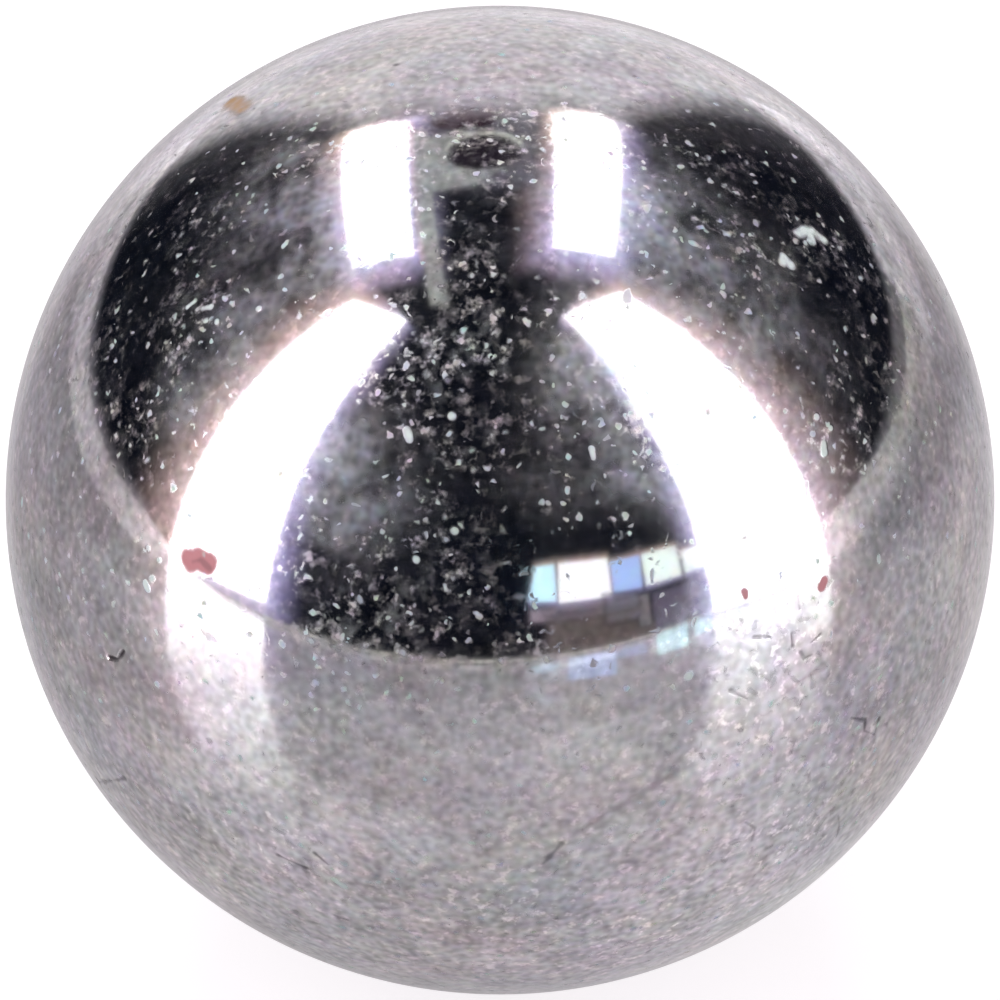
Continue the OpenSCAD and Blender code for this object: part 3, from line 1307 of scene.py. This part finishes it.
# %% Under the windows
GLIMPSES = {
    "sill": ([(7, 3.5), (7, 6), (23, 6), (23, 3.5)], (1, 0.86, 0.97, 1), 0.50, 0.02),
    "wall": ([(11, -6), (11, 2.5), (31, 2.5), (36, -4)], (1, 0.88, 0.82, 1), 0.19, 0.05),
    "post": ([(31, -1), (31, 5.5), (33, 5.5), (33, -1)], (1, 0.97, 1, 1), 0.34, 0.02),
    "ledge": ([(24, 1.5), (24, 6.5), (30.5, 6), (30.5, 1.5)], (0.88, 0.86, 1, 1), 0.34, 0.03),
    "shade": ([(34.5, -3), (34.5, 5), (45, 5), (45, -3)], (0.78, 0.72, 1, 1), 0.25, 0.03),
}
for glimpse_name, (corners, colour, strength, fringe) in GLIMPSES.items():
    glimpse = fading_material(glimpse_name, colour, strength)
    sheet(glimpse_name, [toward_wall(*c) for c in corners], [glimpse], fringe)
print(f"{len(GLIMPSES)} glimpses under the windows")

# %% [markdown]
# The windows shine on the table. A shine is given by directions too, and lies where the mirrored sight
# lines meet the table. The table is curved, so the place is found by trying a length and correcting it.

# %% Shines on the table
SHINE_LIFT = 0.0004
SHINE_FRINGE = 0.004
FIRST_REACH = 0.1
CORRECTIONS = 8


def on_table(azimuth, elevation):
    """Where a mirrored sight line that leaves the ball in that direction meets the table."""
    line = place(azimuth, elevation)
    start = (line + toward_camera).normalized() * BALL_RADIUS
    reach = FIRST_REACH
    for _ in range(CORRECTIONS):
        reach = (table_height(start.y + line.y * reach) + SHINE_LIFT - start.z) / line.z
    return start + line * reach


SHINES = {
    "shine_1": ([(9, -6.5), (9, -10.5), (13, -11), (13, -6)], (0.5, 0.8, 1, 1), 0.10),
    "shine_2": ([(15, -6), (15, -11), (25, -11), (25, -5.5)], (0.22, 0.50, 1, 1), 0.48),
    "shine_3": ([(34.5, -3.5), (34.5, -8.5), (41.5, -8), (41.5, -3)], (0.45, 1, 0.94, 1), 0.55),
    "shine_4": ([(43, -3), (43, -6.5), (47.5, -6), (47.5, -2.5)], (0.45, 1, 0.94, 1), 0.45),
}
for shine_name, (corners, colour, strength) in SHINES.items():
    shine = fringe_material(shine_name, strength, tint_colour=colour)
    sheet(shine_name, [on_table(*c) for c in corners], [shine], SHINE_FRINGE)
print(f"{len(SHINES)} shines on the table")

# %% [markdown]
# Low pale rims run along the front edge of the table and across its right side, where the light catches
# them. Behind the right rim, and past the left end of the table, the dark of the room is a little misty.

# %% Rims and mist
RIM_HEIGHT = 0.0017
RIM_LEFT = -0.194
RIM_RIGHT = 0.25
RIM_MIDDLE = -0.125
RIM_SLANT = -0.30
RIGHT_RIM_X = 0.60
RIGHT_MIST_X = 0.61
LEFT_MIST_X = -0.97
MIST = (0.95, 0.93, 1, 1)
MIST_GLOW = 0.22
RIGHT_RIM = [
    (-0.16, -0.03),
    (1.0, -0.03),
    (1.0, 0.012),
    (0.30, 0.012),
    (0.18, 0.021),
    (0.10, 0.026),
    (0.0, 0.027),
    (-0.16, 0.026),
]
RIGHT_MIST = [(-0.05, -0.05), (1.3, -0.05), (1.3, 0.055), (0.4, 0.045), (-0.05, 0.02)]
LEFT_MIST = [(0.0, -0.05), (2.0, -0.05), (2.0, 0.0), (0.0, -0.01)]

rim_light = flat_material("rim_light", (1, 0.97, 0.90, 1), 0.85)
front_rim = []
for x, lift in ((RIM_LEFT, 0), (RIM_RIGHT, 0), (RIM_RIGHT, RIM_HEIGHT), (RIM_LEFT, RIM_HEIGHT)):
    y = RIM_MIDDLE + RIM_SLANT * x
    front_rim.append((x, y, table_height(y) + lift))
sheet("front_rim", front_rim, [rim_light])
rim_fade = fading_material("right_rim", (1, 1, 0.98, 1), 0.55)
sheet("right_rim", on_side(RIGHT_RIM_X, RIGHT_RIM), [rim_fade], 0.006)
right_mist = flat_material("right_mist", MIST, MIST_GLOW)
right_mist_edge = fringe_material("mist_edge", MIST_GLOW, 1.0, MIST)
sheet("right_mist", on_side(RIGHT_MIST_X, RIGHT_MIST), [right_mist, right_mist_edge], 0.035)
left_mist = flat_material("left_mist", MIST, MIST_GLOW)
left_mist_edge = fringe_material("left_mist_edge", MIST_GLOW, 1.3, MIST)
sheet("left_mist", on_side(LEFT_MIST_X, LEFT_MIST), [left_mist, left_mist_edge], 0.06)
print(f"the front rim is {RIM_HEIGHT / MM:.1f} mm high")

# %% [markdown]
# ## World and view
#
# The world is white for the camera, and for mirror and see-through rays, so that a ball in front of it is
# cut out on white. For all other rays it is a dim even fill, which keeps the dust in the shade from going
# black.

# %% World
FILL_LIGHT = 0.25
world = bpy.data.worlds.new("studio")
bpy.context.scene.world = world
world.use_nodes = True
tree = world.node_tree
background = tree.nodes["Background"]
path = add(tree, "ShaderNodeLightPath").outputs
seen = calc(tree, "MAXIMUM", path["Is Camera Ray"], path["Is Glossy Ray"])
seen = calc(tree, "MAXIMUM", seen, path["Is Transmission Ray"])
background.inputs["Color"].default_value = (1, 1, 1, 1)
tree.links.new(blend_value(tree, seen, FILL_LIGHT, 1.0), background.inputs["Strength"])
bpy.context.scene.view_settings.view_transform = "Standard"
print("the world is white for the camera")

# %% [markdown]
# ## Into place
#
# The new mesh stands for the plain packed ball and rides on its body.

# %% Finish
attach(ball, "root")
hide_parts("ball")
